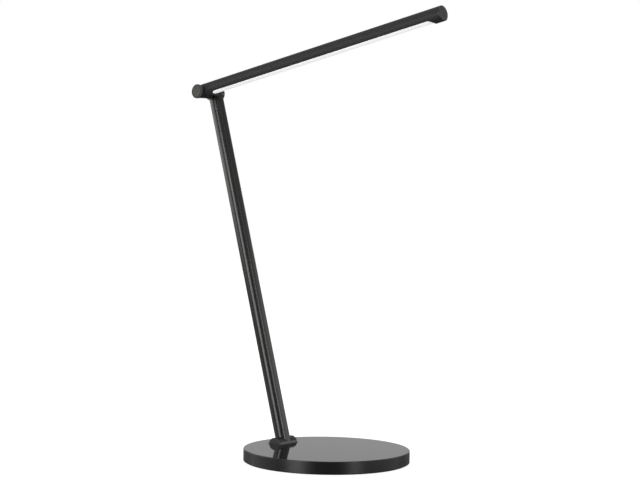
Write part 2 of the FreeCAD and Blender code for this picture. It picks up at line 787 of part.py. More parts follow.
def lens():
    """The diffuser: gently domed between the slot's edges, it catches inside by a lip."""
    dome = rod(DOME_R, "head_length", (f"{LENS_FACE} - {DOME_R}", "0", "0"))
    face = common(stadium(f"({SLOT_HALF} - slide_fit)", LENS_TOP, LENS_FACE), dome)
    lip_low = f"({LENS_TOP} + lens_lip_height)"
    lip = common(stadium(f"({SLOT_HALF} + lens_lip)", LENS_TOP, lip_low), rod(PLUG_R, "head_length"))
    hollow_low = f"({LENS_EDGE} - lens_wall / 2)"
    hollow = stadium(f"({SLOT_HALF} - lens_wall)", f"({LENS_TOP} - overcut)", hollow_low)
    return cut(fuse(face, lip), hollow)


def heat_bar():
    """The aluminium bar above the light strip, with a channel for the leads."""
    length = f"({BAR_END} - {BAR_START})"
    limits = (BAR_START, BAR_END)
    round_bar = rod(PLUG_R, length, ("0", "0", BAR_START))
    upper = block(("-tube_od", "board_drop"), ("-tube_od", "tube_od"), limits)
    groove = block(("-tube_od", "-bar_groove"), ("-bar_groove / 2", "bar_groove / 2"), limits)
    return cut(common(round_bar, upper), groove)


def leds():
    """Light sources in one row, evenly spaced along the light strip."""
    face = ("board_drop + board_thickness", "board_drop + board_thickness + led_height")
    side = ("-led_width / 2", "led_width / 2")
    lights = []
    for place in range(round(number("led_count"))):
        middle = f"({BAR_START} + ({BAR_END} - {BAR_START}) * {2 * place + 1} / (2 * led_count))"
        lights.append(block(face, side, (f"{middle} - led_length / 2", f"{middle} + led_length / 2")))
    return group(*lights)


def end_cap():
    return turned([
        ("0", "0"),
        (PLUG_R, "0"),
        (PLUG_R, "end_cap_spigot"),
        (TUBE_R, "end_cap_spigot"),
        (TUBE_R, "end_cap_spigot + end_cap - end_cap_chamfer"),
        (f"{TUBE_R} - end_cap_chamfer", "end_cap_spigot + end_cap"),
        ("0", "end_cap_spigot + end_cap"),
    ])


strip_depth = ("board_drop", "board_drop + board_thickness")
light_strip = block(strip_depth, (f"-{BOARD_HALF}", BOARD_HALF), (BAR_START, BAR_END))
strip_corner = f"placement(vector(board_drop; -{BOARD_HALF}; {BAR_START}); rotation(vector(0; 0; 1); 0))"
sub_part("head_knuckle", head_knuckle(), HEAD)
sub_part("head_tube", head_tube(), HEAD_TUBE)
sub_part("heat_bar", heat_bar(), HEAD_TUBE)
sub_part("light_strip", light_strip, f"{HEAD_TUBE} * {strip_corner}")
sub_part("light_sources", leds(), HEAD_TUBE)
sub_part("lens", lens(), HEAD_TUBE)
sub_part("head_end_cap", end_cap(), f"{HEAD_TUBE} * {at_height(f'{TUBE_END} - end_cap_spigot')}")


# Switch
def switch_body():
    half = "(switch_side / 2)"
    box = block((f"-{half}", half), (f"-{half}", half), (SWITCH_FACE, SWITCH_TOP))
    well = rod("plunger_diameter / 2 + 2 * slide_fit", "switch_height", ("0", "0", PLUNGER_FLOOR))
    return cut(box, well)


SKIRT_FACE = f"({COLLAR_FACE} - slide_fit)"
SKIRT_R = f"({CAVITY_R} - 2 * slide_fit)"
BOSS_R = f"({CAVITY_R} - collar_wall - 2 * slide_fit)"
PLUNGER_TOP = f"({SKIRT_FACE} + collar_length / 2)"
PLUNGER_START = f"({PLUNGER_TOP} - plunger_length)"
PLUNGER_FLOOR = f"({PLUNGER_START} - button_travel - slide_fit)"


def switch_button():
    """The push button: a skirt caught behind the collar, a boss and a dished face with a raised rim."""
    start = f"({SKIRT_FACE} - skirt_length)"
    hollow = f"({BOSS_R} - skirt_wall)"
    shoulder = "skirt_length"
    back = f"({HEAD_END} + button_gap - {start})"
    face = f"({back} + button_thickness)"
    return turned([
        (hollow, "0"),
        (SKIRT_R, "0"),
        (SKIRT_R, shoulder),
        (BOSS_R, shoulder),
        (BOSS_R, back),
        (TUBE_R, back),
        (TUBE_R, f"{face} - rim_chamfer"),
        (f"{TUBE_R} - rim_chamfer", face),
        (f"{TUBE_R} - button_rim", face),
        (f"{TUBE_R} - button_rim - button_dish", f"{face} - button_dish"),
        ("0", f"{face} - button_dish"),
        ("0", f"{PLUNGER_TOP} - {start}"),
        (hollow, f"{PLUNGER_TOP} - {start}"),
    ])


switch_disc = rod(f"{CAVITY_R} - press_fit", "switch_board")
sub_part("switch_board", switch_disc, f"{HEAD_AXIS} * {at_height(BOARD_FACE)}")
sub_part("switch_body", switch_body(), HEAD_AXIS)
collar = ring(f"{CAVITY_R} - press_fit", f"{CAVITY_R} - collar_wall", COLLAR_FACE, "collar_length")
sub_part("button_collar", collar, HEAD_AXIS)
sub_part("switch_button", switch_button(), f"{HEAD_AXIS} * {at_height(f'{SKIRT_FACE} - skirt_length')}")
sub_part("switch_plunger", rod("plunger_diameter / 2", "plunger_length"),
         f"{HEAD_AXIS} * {at_height(PLUNGER_START)}")

# Check every object, then write each sub-part
doc.recompute()
for item in doc.Objects:
    if "Invalid" in item.State or "Error" in item.State:
        raise RuntimeError(f"{item.Label} did not build: {item.State}")
for item in pieces:
    if item.Shape.isNull() or not item.Shape.isValid():
        raise RuntimeError(f"{item.Label} has no valid shape")

os.makedirs("parts", exist_ok=True)
for item in pieces:
    item.Shape.exportStep(f"parts/{item.Label}.step")
    box = item.Shape.BoundBox
    print(f"{item.Label}: {len(item.Shape.Solids)} solids, {item.Shape.Volume:.1f} mm3,"
          f" x {box.XMin:.1f} to {box.XMax:.1f}, y {box.YMin:.1f} to {box.YMax:.1f},"
          f" z {box.ZMin:.1f} to {box.ZMax:.1f}")
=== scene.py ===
import json
import math

import bmesh
import bpy
from mathutils import Euler, Matrix, Vector


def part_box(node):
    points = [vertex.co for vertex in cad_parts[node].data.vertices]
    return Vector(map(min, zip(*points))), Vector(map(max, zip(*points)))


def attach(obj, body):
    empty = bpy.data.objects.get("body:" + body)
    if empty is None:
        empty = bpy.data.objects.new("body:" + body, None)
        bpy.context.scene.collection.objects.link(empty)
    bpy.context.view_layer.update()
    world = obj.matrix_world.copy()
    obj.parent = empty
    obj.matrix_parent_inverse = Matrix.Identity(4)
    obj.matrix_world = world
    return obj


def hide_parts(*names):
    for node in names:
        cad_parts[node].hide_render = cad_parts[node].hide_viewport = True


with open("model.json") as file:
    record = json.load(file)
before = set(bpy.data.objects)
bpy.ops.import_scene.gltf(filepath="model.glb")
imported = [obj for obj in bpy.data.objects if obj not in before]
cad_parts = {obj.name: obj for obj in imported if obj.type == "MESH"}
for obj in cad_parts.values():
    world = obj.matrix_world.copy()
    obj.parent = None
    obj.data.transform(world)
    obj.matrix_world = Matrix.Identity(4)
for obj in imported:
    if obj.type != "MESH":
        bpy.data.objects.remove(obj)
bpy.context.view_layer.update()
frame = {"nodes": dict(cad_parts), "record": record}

# Sizes in millimetres, turns in degrees
MM = 0.001
HEAD_ANGLE = 10.25
HEAD_SIDE = 18.45
HEAD_LIFT = 1.5
TUBE_RADIUS = 8.1
SPIGOT_RADIUS = 6.89
SEAM_DEPTH = 0.35
SEAM_WIDTH = 0.3
EDGE = 0.3

BASE_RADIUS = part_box("base_cover")[1].y / MM
BASE_TOP = 13.7
BASE_EDGE = 0.8
COVER_INSIDE = 88.0
COVER_CEILING = 11.5
RIM_BAND = 3.0
POCKET_HALF = 10.604
POCKET_NEAR = 17.2
POCKET_FAR = 14.3
INLET_HEIGHT = 6.95
INLET_RADIUS = 4.05

PAD_RADIUS = 88.5
PAD_THICKNESS = 0.9
PAD_GROOVES = 14
PAD_GROOVE_DEPTH = 0.3

BARREL_END = 13.8
NEAR_PLUG_FACE = 16.7
FAR_CAP_SEAM = 12.8
PLUG_SPIGOT = 0.9
TOP_CAP_FACE = 8.1
TOP_CAP_SEAM = 6.5
TOP_CAP_CHAMFER = 0.8
TOP_CAP_SPIGOT = 1.2
TOP_CAP_SPIGOT_RADIUS = 6.0

TUBE_END = 330.7
END_CAP_FACE = 333.3
END_CAP_SPIGOT = 6.0
END_CAP_CHAMFER = 0.5

BUTTON_SKIRT = 24.85
BUTTON_SHOULDER = 26.25
BUTTON_BACK = 28.9
BUTTON_FACE = 31.46
BUTTON_RIM = 1.0
BUTTON_GROOVE = 0.6
SKIRT_RADIUS = 5.6
BOSS_RADIUS = 4.9

# How finely round pieces are divided, and the sharpest corner that is shaded as an arc
ARC_STEPS = 5
SMOOTH_ANGLE = 35.0
SIDES = 128
BASE_SIDES = 320

# The photograph's camera, in the lamp's own frame: its place in metres, its turns in degrees
CAMERA_PLACE = (0.9059, -1.1520, 0.2357)
CAMERA_HEADING = 38.6
CAMERA_TILT = 0.14
CAMERA_ROLL = 0.92
CAMERA_LENS_MM = 76.06
SENSOR_WIDTH_MM = 36.0

# Frames with +Z along the axis that a piece is turned on
joints = {joint["name"]: joint for joint in frame["record"]["behaviour"]["joints"]}
foot_hinge = Vector(joints["stem_tilt"]["pos_m"])
top_hinge = Vector(joints["head_tilt"]["pos_m"])
stem_line = top_hinge - foot_hinge
stem_lean = math.degrees(math.atan2(-stem_line.x, stem_line.z))
along_stem = (0, stem_lean, 0)
along_head = (0, -90 - HEAD_ANGLE, 0)


def turn(degrees, axis):
    """A turn about one axis of the lamp's frame."""
    return Matrix.Rotation(math.radians(degrees), 4, axis)


to_near_side = turn(90, "X")
head_frame = Matrix.Translation(top_hinge) @ turn(-HEAD_ANGLE, "Y")
head_offset = Matrix.Translation(Vector((0, -HEAD_SIDE, HEAD_LIFT)) * MM)
base_axis = Matrix.Identity(4)
foot_axis = Matrix.Translation(foot_hinge) @ to_near_side
top_axis = Matrix.Translation(top_hinge) @ to_near_side
head_axis = head_frame @ head_offset @ turn(90, "Y")


# Colours and shader nodes
def linear(hex_colour):
    """An sRGB hex colour as linear red, green, blue and a full alpha."""
    channels = [int(hex_colour[place:place + 2], 16) / 255 for place in (1, 3, 5)]
    straight = [c / 12.92 if c <= 0.04045 else ((c + 0.055) / 1.055) ** 2.4 for c in channels]
    return (*straight, 1.0)


def add(tree, kind, settings=None, inputs=None):
    """One shader node with its settings, and a value or a link for each input, by name or identifier."""
    node = tree.nodes.new(kind)
    for name, value in (settings or {}).items():
        setattr(node, name, value)
    for name, value in (inputs or {}).items():
        socket = next(s for s in node.inputs if name in (s.identifier, s.name))
        if isinstance(value, bpy.types.NodeSocket):
            tree.links.new(value, socket)
        else:
            socket.default_value = value
    return node


def blank_material(name):
    """A new material and its empty node tree."""
    material = bpy.data.materials.new(name)
    material.use_nodes = True
    material.node_tree.nodes.clear()
    return material, material.node_tree


def per_metre(size_mm):
    """The pattern scale for a grain of this size."""
    return 1 / (size_mm * MM)


# Materials
LACQUER_IOR = 1.5
ACRYLIC_IOR = 1.49

# A mix's colour is its third output.
COLOUR_RESULT = 2

# A wave pattern at a scale of 1 has this many rings in each unit.
RINGS_PER_UNIT = 20 / (2 * math.pi)

# Most of a noise lies between these levels, and roughness strays this far with it.
NOISE_LOW = 0.25
NOISE_HIGH = 0.75
ROUGH_SPREAD = 0.05


def base_lacquer():
    """Black polyurethane lacquer sprayed on pressed steel, polished on top and satin on the wall.

    The top mirrors what stands on it with a faint orange peel; the wall shows soft upright bands of light.
    """
    peel_mm = 2.5
    peel_depth_mm = 0.0015
    haze_mm = 40
    wall_rough = 0.3
    top_rough = 0.06
    material, tree = blank_material("black_polyurethane_sprayed_and_polished")
    place = add(tree, "ShaderNodeTexCoord").outputs
    peel = add(tree, "ShaderNodeTexNoise", None, {"Vector": place["Object"], "Scale": per_metre(peel_mm)})
    haze = add(tree, "ShaderNodeTexNoise", None, {
        "Vector": place["Object"], "Scale": per_metre(haze_mm), "Detail": 4.0,
    }).outputs["Fac"]
    colour = add(tree, "ShaderNodeMix", {"data_type": "RGBA"}, {
        "Factor_Float": haze, "A_Color": linear("#0a0a0c"), "B_Color": linear("#101013"),
    }).outputs[COLOUR_RESULT]
    upward = add(tree, "ShaderNodeSeparateXYZ", None, {"Vector": place["Normal"]}).outputs["Z"]
    gloss = add(tree, "ShaderNodeMapRange", None, {
        "Value": upward, "From Min": 0.3, "From Max": 0.95, "To Min": wall_rough, "To Max": top_rough,
    }).outputs["Result"]
    cloud = add(tree, "ShaderNodeMapRange", None, {
        "Value": haze, "From Min": 0.3, "From Max": 0.7, "To Min": 0.9, "To Max": 1.15,
    }).outputs["Result"]
    rough = add(tree, "ShaderNodeMath", {"operation": "MULTIPLY"}, {"Value": gloss, "Value_001": cloud})
    bump = add(tree, "ShaderNodeBump", None, {
        "Height": peel.outputs["Fac"], "Distance": peel_depth_mm * MM,
    })
    shader = add(tree, "ShaderNodeBsdfPrincipled", None, {
        "Base Color": colour,
        "Roughness": rough.outputs["Value"],
        "IOR": LACQUER_IOR,
        "Normal": bump.outputs["Normal"],
    })
    add(tree, "ShaderNodeOutputMaterial", None, {"Surface": shader.outputs["BSDF"]})
    return material


def tube_lacquer(name, dark, light, along, rough, mirror):
    """Satin lacquer sprayed on drawn steel tube: the drawing marks streak its reflections lengthwise."""
    # Drawing marks are a tenth of a millimetre wide; these are drawn 0.9 mm wide so that they show.
    mark_width_mm = 0.9
    mark_length_mm = 140
    mark_depth_mm = 0.004
    peel_mm = 0.6
    peel_depth_mm = 0.006
    material, tree = blank_material(name)
    place = add(tree, "ShaderNodeTexCoord").outputs["Object"]
    along_tube = add(tree, "ShaderNodeMapping", None, {
        "Vector": place, "Rotation": [math.radians(angle) for angle in along],
    }).outputs["Vector"]
    marks = add(tree, "ShaderNodeMapping", None, {
        "Vector": along_tube,
        "Scale": (per_metre(mark_width_mm), per_metre(mark_width_mm), per_metre(mark_length_mm)),
    })
    streak = add(tree, "ShaderNodeTexNoise", None, {
        "Vector": marks.outputs["Vector"], "Scale": 1.0, "Detail": 3.0,
    }).outputs["Fac"]
    peel = add(tree, "ShaderNodeTexNoise", None, {"Vector": place, "Scale": per_metre(peel_mm)})
    colour = add(tree, "ShaderNodeMix", {"data_type": "RGBA"}, {
        "Factor_Float": streak, "A_Color": linear(dark), "B_Color": linear(light),
    }).outputs[COLOUR_RESULT]
    sheen = add(tree, "ShaderNodeMapRange", None, {
        "Value": streak, "From Min": NOISE_LOW, "From Max": NOISE_HIGH,
        "To Min": rough - ROUGH_SPREAD, "To Max": rough + ROUGH_SPREAD,
    }).outputs["Result"]
    grooves = add(tree, "ShaderNodeBump", None, {
        "Height": streak, "Distance": mark_depth_mm * MM, "Strength": 0.5,
    })
    bump = add(tree, "ShaderNodeBump", None, {
        "Height": peel.outputs["Fac"], "Distance": peel_depth_mm * MM, "Strength": 0.4,
        "Normal": grooves.outputs["Normal"],
    })
    shader = add(tree, "ShaderNodeBsdfPrincipled", None, {
        "Base Color": colour,
        "Roughness": sheen,
        "IOR": LACQUER_IOR,
        "Specular IOR Level": mirror,
        "Normal": bump.outputs["Normal"],
    })
    add(tree, "ShaderNodeOutputMaterial", None, {"Surface": shader.outputs["BSDF"]})
    return material


def button_metal():
    """Aluminium, turned and anodised grey: fine rings round the middle catch the light."""
    # Turning marks are a twentieth of a millimetre apart; these are drawn 0.5 mm apart so that they show.
    ring_gap_mm = 0.5
    ring_depth_mm = 0.01
    frost_mm = 0.4
    rough = 0.55
    material, tree = blank_material("grey_anodised_turned_aluminium")
    place = add(tree, "ShaderNodeTexCoord").outputs["Object"]
    from_middle = add(tree, "ShaderNodeMapping", None, {"Vector": place, "Location": -top_hinge})
    rings = add(tree, "ShaderNodeTexWave", {"wave_type": "RINGS", "rings_direction": "Y"}, {
        "Vector": from_middle.outputs["Vector"],
        "Scale": per_metre(ring_gap_mm) / RINGS_PER_UNIT,
        "Distortion": 0.6,
        "Detail": 2.0,
    })
    frost = add(tree, "ShaderNodeTexNoise", None, {
        "Vector": place, "Scale": per_metre(frost_mm), "Detail": 3.0,
    }).outputs["Fac"]
    colour = add(tree, "ShaderNodeMix", {"data_type": "RGBA"}, {
        "Factor_Float": frost, "A_Color": linear("#383a34"), "B_Color": linear("#40423b"),
    }).outputs[COLOUR_RESULT]
    sheen = add(tree, "ShaderNodeMapRange", None, {
        "Value": frost, "From Min": NOISE_LOW, "From Max": NOISE_HIGH,
        "To Min": rough - ROUGH_SPREAD, "To Max": rough + ROUGH_SPREAD,
    }).outputs["Result"]
    bump = add(tree, "ShaderNodeBump", None, {
        "Height": rings.outputs["Fac"], "Distance": ring_depth_mm * MM, "Strength": 0.4,
    })
    shader = add(tree, "ShaderNodeBsdfPrincipled", None, {
        "Base Color": colour,
        "Roughness": sheen,
        "Normal": bump.outputs["Normal"],
    })
    add(tree, "ShaderNodeOutputMaterial", None, {"Surface": shader.outputs["BSDF"]})
    return material


def opal_acrylic():
    """Opal acrylic, extruded: lit from behind it glows an even white, with faint lines along its length."""
    line_width_mm = 0.8
    line_length_mm = 200
    rough = 0.4
    glow = 0.58
    material, tree = blank_material("opal_extruded_acrylic")
    place = add(tree, "ShaderNodeTexCoord").outputs["Object"]
    along_lens = add(tree, "ShaderNodeMapping", None, {
        "Vector": place, "Rotation": [math.radians(angle) for angle in along_head],
    }).outputs["Vector"]
    lines = add(tree, "ShaderNodeMapping", None, {
        "Vector": along_lens,
        "Scale": (per_metre(line_width_mm), per_metre(line_width_mm), per_metre(line_length_mm)),
    })
    cloud = add(tree, "ShaderNodeTexNoise", None, {
        "Vector": lines.outputs["Vector"], "Scale": 1.0, "Detail": 2.0,
    }).outputs["Fac"]
    colour = add(tree, "ShaderNodeMix", {"data_type": "RGBA"}, {
        "Factor_Float": cloud, "A_Color": linear("#eeeeee"), "B_Color": linear("#fafafa"),
    }).outputs[COLOUR_RESULT]
    sheen = add(tree, "ShaderNodeMapRange", None, {
        "Value": cloud, "From Min": NOISE_LOW, "From Max": NOISE_HIGH,
        "To Min": rough - ROUGH_SPREAD, "To Max": rough + ROUGH_SPREAD,
    }).outputs["Result"]
    shader = add(tree, "ShaderNodeBsdfPrincipled", None, {
        "Base Color": colour,
        "Roughness": sheen,
        "IOR": ACRYLIC_IOR,
        "Emission Color": linear("#fffdfd"),
        "Emission Strength": glow,
    })
    add(tree, "ShaderNodeOutputMaterial", None, {"Surface": shader.outputs["BSDF"]})
    return material


def grained(name, dark, light, grain_mm, rough, metallic=0.0, depth_mm=0.01):
    """A surface with one even grain, which its colour, gloss and relief follow."""
    material, tree = blank_material(name)
    place = add(tree, "ShaderNodeTexCoord").outputs["Object"]
    grain = add(tree, "ShaderNodeTexNoise", None, {
        "Vector": place, "Scale": per_metre(grain_mm), "Detail": 3.0,
    }).outputs["Fac"]
    colour = add(tree, "ShaderNodeMix", {"data_type": "RGBA"}, {
        "Factor_Float": grain, "A_Color": linear(dark), "B_Color": linear(light),
    }).outputs[COLOUR_RESULT]
    sheen = add(tree, "ShaderNodeMapRange", None, {
        "Value": grain, "From Min": NOISE_LOW, "From Max": NOISE_HIGH,
        "To Min": rough - ROUGH_SPREAD, "To Max": rough + ROUGH_SPREAD,
    }).outputs["Result"]
    bump = add(tree, "ShaderNodeBump", None, {"Height": grain, "Distance": depth_mm * MM, "Strength": 0.4})
    shader = add(tree, "ShaderNodeBsdfPrincipled", None, {
        "Base Color": colour,
        "Roughness": sheen,
        "Metallic": metallic,
        "Normal": bump.outputs["Normal"],
    })
    add(tree, "ShaderNodeOutputMaterial", None, {"Surface": shader.outputs["BSDF"]})
    return material


# Sprayed lacquer on turned steel is an even, slightly pebbled black.
cap_black = grained("black_satin_lacquer_on_turned_steel", "#222223", "#2a2a2b", grain_mm=0.7, rough=0.42)
finishes = {
    "gloss_black_lacquer": base_lacquer(),
    "satin_bronze_black": tube_lacquer(
        "bronze_black_lacquer_sprayed_on_drawn_tube", "#141312", "#1e1d1b", along_stem,
        rough=0.27, mirror=0.5,
    ),
    "satin_black": tube_lacquer(
        "black_lacquer_sprayed_on_drawn_tube", "#2a2a2c", "#333335", along_head,
        rough=0.5, mirror=0.22,
    ),
    "button_grey": button_metal(),
    "opal_plastic": opal_acrylic(),
    # Zinc plating shines softly and looks cloudy.
    "steel": grained(
        "zinc_plated_pressed_steel", "#b4b6b8", "#cacccd", grain_mm=1.5, rough=0.35, metallic=1.0,
    ),
    # Extruded aluminium is paler and a little duller, with a finer grain.
    "aluminium": grained(
        "extruded_aluminium", "#c8c9cb", "#dadbdc", grain_mm=0.6, rough=0.38, metallic=1.0,
    ),
    # Turned brass is the shiniest metal here, a warm yellow.
    "brass": grained("turned_brass", "#b08d4a", "#c9a75f", grain_mm=0.5, rough=0.3, metallic=1.0),
    # Moulded rubber is dull and softly pebbled.
    "rubber_pad": grained(
        "black_moulded_rubber", "#121212", "#1c1c1c", grain_mm=0.8, rough=0.8, depth_mm=0.05,
    ),
    # Moulded nylon has the half-dull face of its mould.
    "black_plastic": grained("black_moulded_nylon", "#141414", "#1e1e1e", grain_mm=0.5, rough=0.55),
    # Printed solder mask is a smooth white with broad, faint clouds.
    "circuit_board": grained(
        "white_solder_mask_on_glass_fibre", "#e2e4e0", "#f2f3f0", grain_mm=3.0, rough=0.4,
    ),
    # Silicone filled with phosphor powder is a grainy, pale yellow.
    "light_chip": grained("moulded_phosphor_silicone", "#ead27a", "#f6e49a", grain_mm=0.4, rough=0.5),
}

for part in frame["record"]["subparts"]:
    solid = frame["nodes"][part["node"]]
    solid.data.materials.clear()
    solid.data.materials.append(finishes[part["material_slot"]])


# Pieces made here in place of plainer solids
def rounded(outline):
    """A half section with its corners as arcs; a corner is a radius, a height and how far it is rounded."""
    shares = [step / ARC_STEPS for step in range(ARC_STEPS + 1)]
    points = [Vector(outline[0][:2])]
    for before, (radius, height, rounding), after in zip(outline, outline[1:], outline[2:]):
        corner = Vector((radius, height))
        back = (Vector(before[:2]) - corner).normalized()
        ahead = (Vector(after[:2]) - corner).normalized()
        half = back.angle(ahead) / 2
        reach = rounding / math.tan(half)
        centre = corner + (back + ahead).normalized() * (rounding / math.sin(half))
        start = corner + back * reach - centre
        end = corner + ahead * reach - centre
        points += [centre + start.slerp(end, share) * rounding for share in shares]
    points.append(Vector(outline[-1][:2]))
    return points


def turned(name, outline, sides=SIDES):
    """A lathe-turned solid: its half section runs from the edge of one flat face to the edge of the other."""
    angles = [2 * math.pi * side / sides for side in range(sides)]
    build = bmesh.new()
    rings = []
    for radius, height in rounded(outline):
        corners = [Vector((radius * math.cos(a), radius * math.sin(a), height)) * MM for a in angles]
        rings.append([build.verts.new(corner) for corner in corners])
    build.faces.new(reversed(rings[0]))
    build.faces.new(rings[-1])
    for lower, upper in zip(rings, rings[1:]):
        for side in range(sides):
            after = (side + 1) % sides
            build.faces.new((lower[side], lower[after], upper[after], upper[side]))
    mesh = bpy.data.meshes.new(name)
    build.to_mesh(mesh)
    build.free()
    return mesh


def cut_away(mesh, cutters):
    """The mesh without the room that each cutter takes up."""
    name = mesh.name
    shells = [mesh, *cutters]
    solids = [bpy.data.objects.new(shell.name, shell) for shell in shells]
    for solid in solids:
        bpy.context.collection.objects.link(solid)
    blank, *tools = solids
    for tool in tools:
        cut = blank.modifiers.new(tool.name, "BOOLEAN")
        cut.operation = "DIFFERENCE"
        cut.object = tool
    finished = blank.evaluated_get(bpy.context.evaluated_depsgraph_get())
    result = bpy.data.meshes.new_from_object(finished)
    for solid in solids:
        bpy.data.objects.remove(solid)
    for shell in shells:
        bpy.data.meshes.remove(shell)
    result.name = name
    return result


def even_shading(mesh):
    """Smooth on arcs, crisp at corners."""
    mesh.polygons.foreach_set("use_smooth", [True] * len(mesh.polygons))
    mesh.set_sharp_from_angle(angle=math.radians(SMOOTH_ANGLE))


def place_piece(mesh, axis, body, node, finish):
    """Put a mesh on its axis and its body, in place of a plainer solid."""
    even_shading(mesh)
    mesh.transform(axis)
    mesh.materials.append(finish)
    piece = bpy.data.objects.new(mesh.name, mesh)
    bpy.context.collection.objects.link(piece)
    flat_faces = piece.modifiers.new("flat_faces_stay_flat", "WEIGHTED_NORMAL")
    flat_faces.keep_sharp = True
    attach(piece, body)
    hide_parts(node)


def push_button():
    """The button, with a turned groove just inside its rim."""
    groove_out = TUBE_RADIUS - BUTTON_RIM
    groove_in = groove_out - BUTTON_GROOVE
    groove_floor = BUTTON_FACE - BUTTON_GROOVE
    return turned("push_button", [
        (SKIRT_RADIUS - EDGE, BUTTON_SKIRT, 0),
        (SKIRT_RADIUS, BUTTON_SKIRT, EDGE / 2),
        (SKIRT_RADIUS, BUTTON_SHOULDER, EDGE / 2),
        (BOSS_RADIUS, BUTTON_SHOULDER, EDGE / 2),
        (BOSS_RADIUS, BUTTON_BACK, EDGE / 2),
        (TUBE_RADIUS, BUTTON_BACK, EDGE),
        (TUBE_RADIUS, BUTTON_FACE, 2 * EDGE),
        (groove_out, BUTTON_FACE, EDGE / 3),
        (groove_out, groove_floor, EDGE / 3),
        (groove_in, groove_floor, EDGE / 3),
        (groove_in, BUTTON_FACE, EDGE / 3),
        (groove_in - EDGE, BUTTON_FACE, 0),
    ])


def end_cap():
    """The cap on the head's far end, with a spigot in the tube, a seam at its mouth and a chamfered face."""
    seam_radius = TUBE_RADIUS - SEAM_DEPTH
    seam_end = TUBE_END + SEAM_WIDTH
    return turned("head_cap", [
        (SPIGOT_RADIUS - EDGE, TUBE_END - END_CAP_SPIGOT, 0),
        (SPIGOT_RADIUS, TUBE_END - END_CAP_SPIGOT, EDGE / 2),
        (SPIGOT_RADIUS, TUBE_END, EDGE / 4),
        (seam_radius, TUBE_END, EDGE / 4),
        (seam_radius, seam_end, EDGE / 4),
        (TUBE_RADIUS, seam_end, EDGE / 4),
        (TUBE_RADIUS, END_CAP_FACE - END_CAP_CHAMFER, EDGE),
        (TUBE_RADIUS - END_CAP_CHAMFER, END_CAP_FACE, EDGE),
        (TUBE_RADIUS - 2 * END_CAP_CHAMFER, END_CAP_FACE, 0),
    ])


def near_plug():
    """The plug in the near end of the lower barrel, with a seam where it meets the barrel."""
    seam_radius = TUBE_RADIUS - SEAM_DEPTH
    seam_end = BARREL_END + SEAM_WIDTH
    return turned("barrel_plug", [
        (SPIGOT_RADIUS - EDGE, BARREL_END - PLUG_SPIGOT, 0),
        (SPIGOT_RADIUS, BARREL_END - PLUG_SPIGOT, EDGE / 2),
        (SPIGOT_RADIUS, BARREL_END, EDGE / 4),
        (seam_radius, BARREL_END, EDGE / 4),
        (seam_radius, seam_end, EDGE / 4),
        (TUBE_RADIUS, seam_end, EDGE / 4),
        (TUBE_RADIUS, NEAR_PLUG_FACE, 2 * EDGE),
        (TUBE_RADIUS - 4 * EDGE, NEAR_PLUG_FACE, 0),
    ])


def far_cap():
    """The cap on the far end of the lower barrel, with a softly rounded face."""
    spigot_end = -FAR_CAP_SEAM + PLUG_SPIGOT
    return turned("barrel_cap", [
        (TUBE_RADIUS - 4 * EDGE, -BARREL_END, 0),
        (TUBE_RADIUS, -BARREL_END, 1.5 * EDGE),
        (TUBE_RADIUS, -FAR_CAP_SEAM, EDGE / 4),
        (SPIGOT_RADIUS, -FAR_CAP_SEAM, EDGE / 4),
        (SPIGOT_RADIUS, spigot_end, EDGE / 2),
        (SPIGOT_RADIUS - EDGE, spigot_end, 0),
    ])


def top_cap():
    """The cap on the far end of the upper barrel, with a chamfered face."""
    spigot_end = -TOP_CAP_SEAM + TOP_CAP_SPIGOT
    return turned("stem_cap", [
        (TUBE_RADIUS - 2 * TOP_CAP_CHAMFER, -TOP_CAP_FACE, 0),
        (TUBE_RADIUS - TOP_CAP_CHAMFER, -TOP_CAP_FACE, EDGE),
        (TUBE_RADIUS, -TOP_CAP_FACE + TOP_CAP_CHAMFER, EDGE),
        (TUBE_RADIUS, -TOP_CAP_SEAM, EDGE / 4),
        (TOP_CAP_SPIGOT_RADIUS, -TOP_CAP_SEAM, EDGE / 4),
        (TOP_CAP_SPIGOT_RADIUS, spigot_end, EDGE / 2),
        (TOP_CAP_SPIGOT_RADIUS - EDGE, spigot_end, 0),
    ])


def hinge_pocket():
    """The room in the base's top that the lower barrel lies in."""
    low = foot_hinge + Vector((-POCKET_HALF, -POCKET_NEAR, 0)) * MM
    high = foot_hinge + Vector((POCKET_HALF, POCKET_FAR, BASE_TOP)) * MM
    low.z = COVER_CEILING / 2 * MM
    fit = Matrix.Translation((low + high) / 2) @ Matrix.Diagonal((*(high - low), 1))
    build = bmesh.new()
    bmesh.ops.create_cube(build, size=1.0, matrix=fit)
    mesh = bpy.data.meshes.new("hinge_pocket")
    build.to_mesh(mesh)
    build.free()
    return mesh


def inlet_hole():
    """The room in the base's back wall that the power inlet's nose passes through."""
    inside = COVER_INSIDE - RIM_BAND
    outside = BASE_RADIUS + RIM_BAND
    mesh = turned("inlet_hole", [
        (INLET_RADIUS - EDGE, inside, 0),
        (INLET_RADIUS, inside, EDGE / 2),
        (INLET_RADIUS, outside, EDGE / 2),
        (INLET_RADIUS - EDGE, outside, 0),
    ])
    mesh.transform(Matrix.Translation((0, 0, INLET_HEIGHT * MM)) @ turn(-90, "Y"))
    return mesh


def base_shell():
    """The pressed cover of the base: a shallow cup with a rounded rim."""
    cup = turned("base_shell", [
        (COVER_INSIDE - RIM_BAND, COVER_CEILING, 0),
        (COVER_INSIDE, COVER_CEILING, EDGE),
        (COVER_INSIDE, PAD_THICKNESS, EDGE / 2),
        (BASE_RADIUS, PAD_THICKNESS, EDGE / 2),
        (BASE_RADIUS, BASE_TOP, BASE_EDGE),
        (BASE_RADIUS - RIM_BAND, BASE_TOP, 0),
    ], BASE_SIDES)
    return cut_away(cup, [hinge_pocket(), inlet_hole()])


